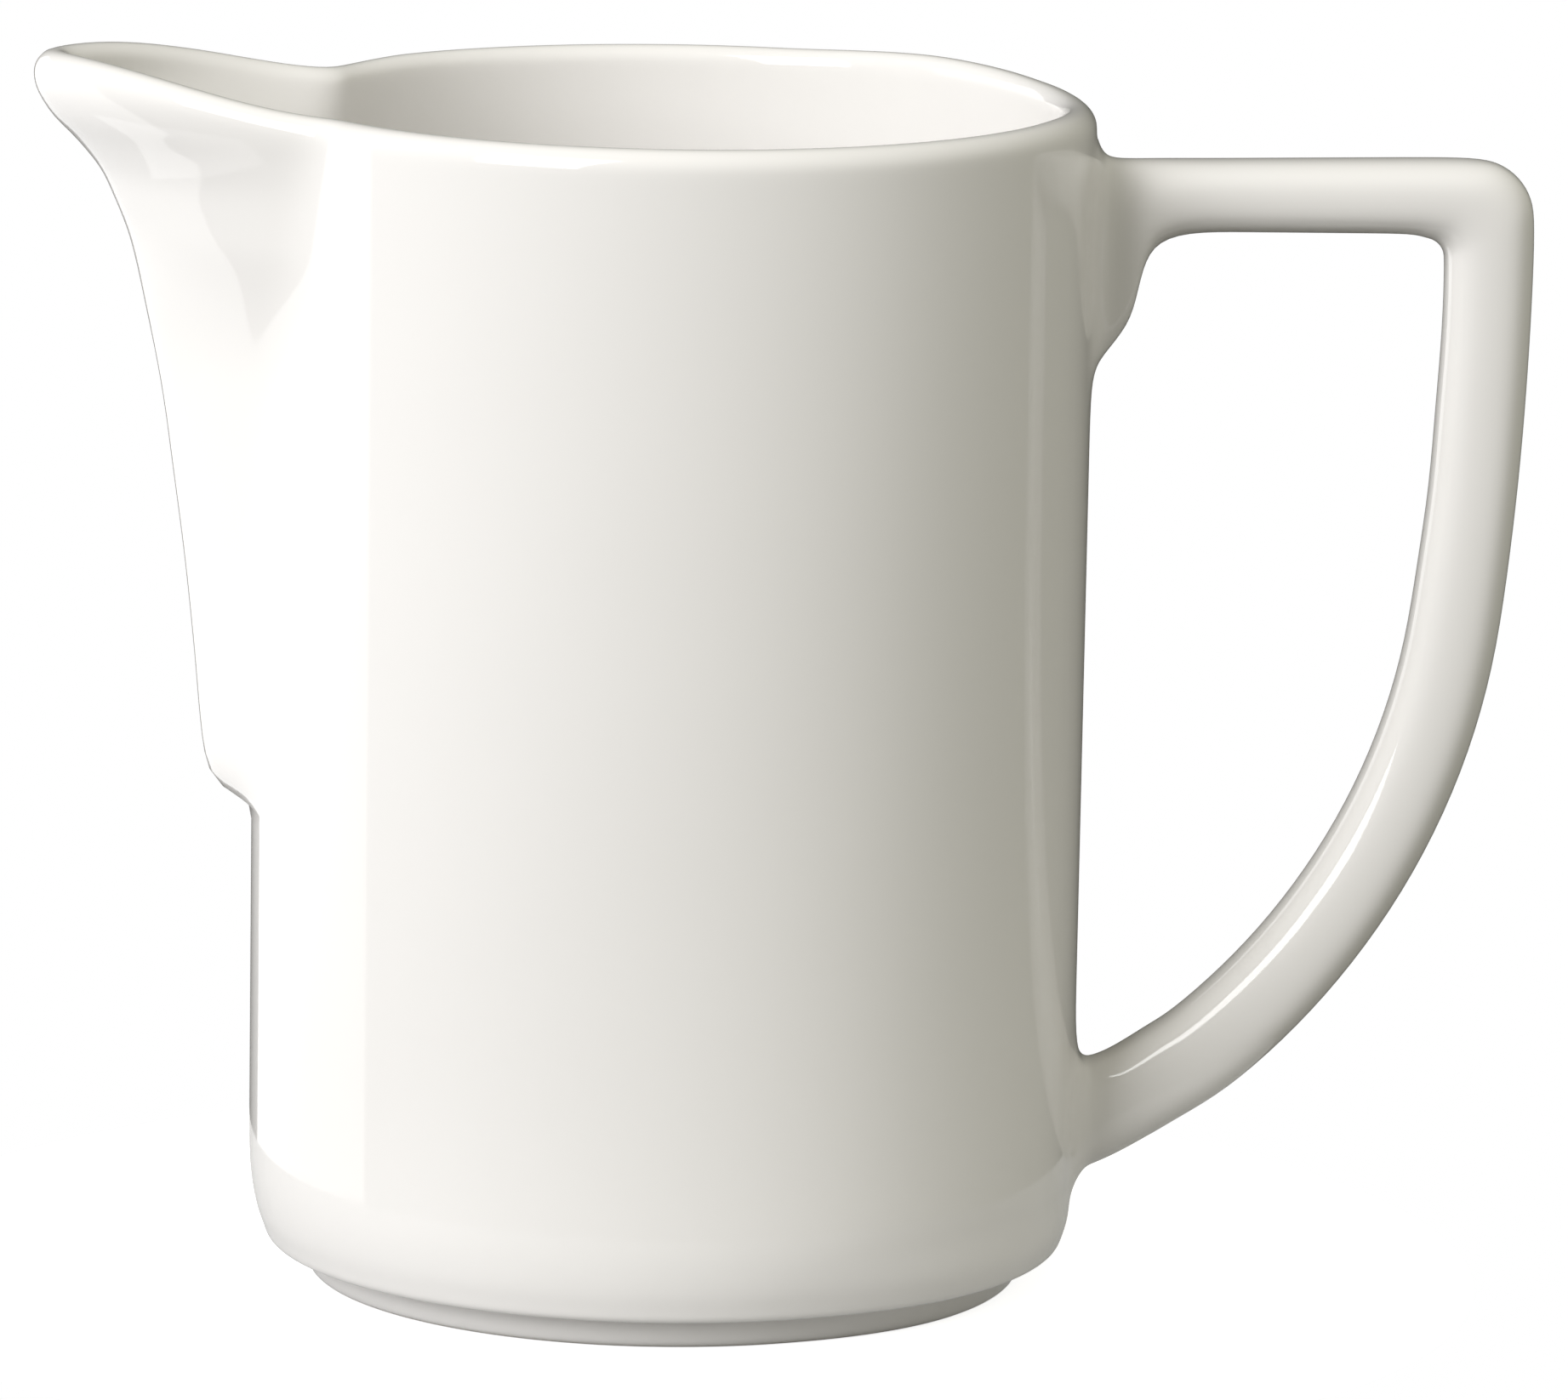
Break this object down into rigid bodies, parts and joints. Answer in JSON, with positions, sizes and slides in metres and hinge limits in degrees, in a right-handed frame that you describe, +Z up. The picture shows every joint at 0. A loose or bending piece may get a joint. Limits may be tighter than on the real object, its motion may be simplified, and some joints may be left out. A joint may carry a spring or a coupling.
{
  "type": "creamer",
  "caption": "Plain white porcelain creamer: straight jug with rounded heel and foot ring, moulded pouring beak and D-shaped handle.",
  "frame": {"origin": "centre of the foot ring, on the plane the jug stands on", "axes": "+Z up along the axis of the round body, +X towards the handle, -X towards the pouring beak"},
  "size_m": [0.1282, 0.0712, 0.1049],
  "materials": {
    "glaze": "clear gloss glaze on white porcelain"
  },
  "bodies": {
    "root": {"creamer": "glaze"}
  },
  "joints": []
}
